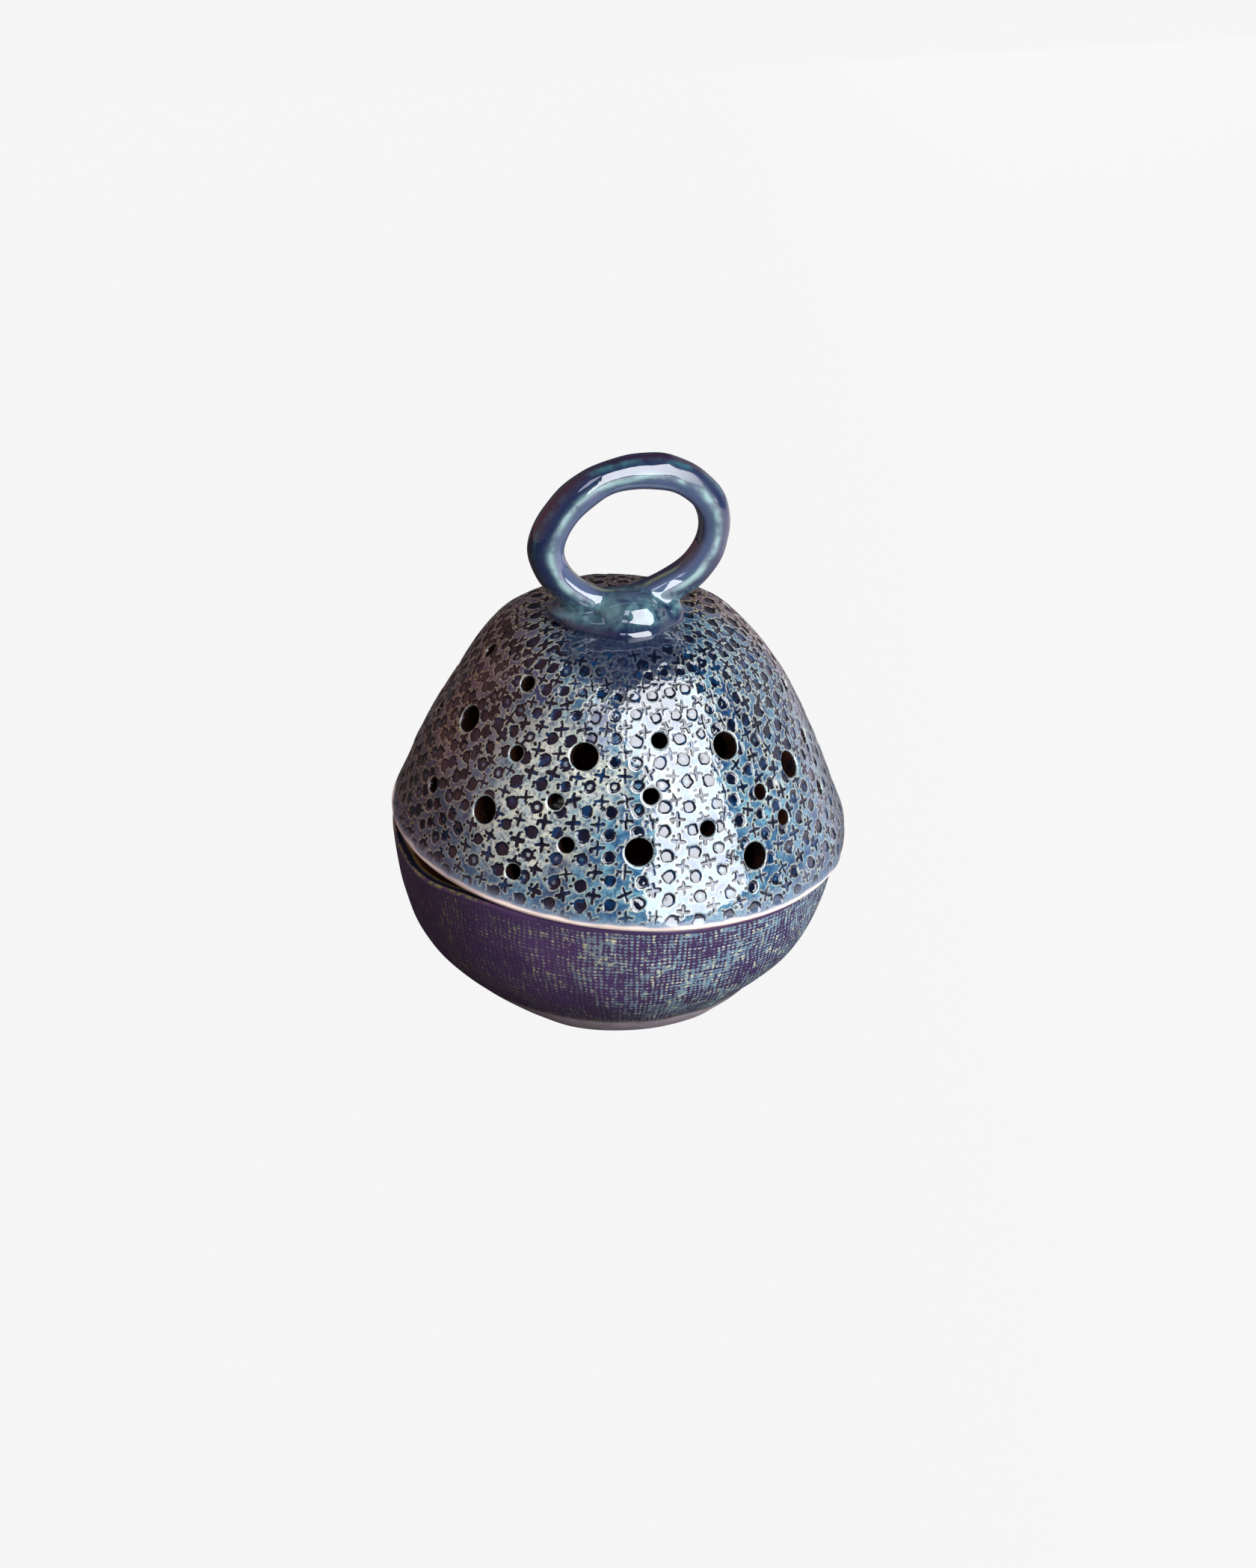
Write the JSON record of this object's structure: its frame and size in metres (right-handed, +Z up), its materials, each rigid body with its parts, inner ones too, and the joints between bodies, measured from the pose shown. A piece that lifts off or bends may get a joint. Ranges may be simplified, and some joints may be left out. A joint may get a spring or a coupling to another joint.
{
  "type": "lidded ceramic butter crock",
  "caption": "Round hand-built ceramic crock: a linen-pressed bowl and a lift-off pierced dome lid with a coil ring handle, for keeping butter on the table.",
  "frame": {"origin": "middle of the foot, on the surface that the crock stands on", "axes": "+Z up, front towards -Y, the seam is higher towards -X"},
  "size_m": [0.1431, 0.1444, 0.1795],
  "materials": {
    "bowl_glaze": "satin aubergine glaze over a linen-pressed slab",
    "foot_clay": "thin brown glaze wiped from the foot",
    "dome_glaze": "glossy blue-grey and cream glaze pooled navy in the stamps",
    "inner_glaze": "glossy dark amber liner glaze",
    "handle_glaze": "glossy blue-violet glaze, teal on the crest of the coil"
  },
  "bodies": {
    "crock": {"bowl_wall": "bowl_glaze", "rim_coil": "bowl_glaze", "bowl_base": "foot_clay"},
    "lid": {"lid_dome": "dome_glaze", "lid_flange": "inner_glaze", "handle_pad": "handle_glaze", "handle_ring": "handle_glaze"}
  },
  "joints": [
    {"name": "lid_lift", "type": "slide", "parent": "crock", "child": "lid", "axis": [0, 0, 1], "range_m": [0, 0.12]}
  ]
}
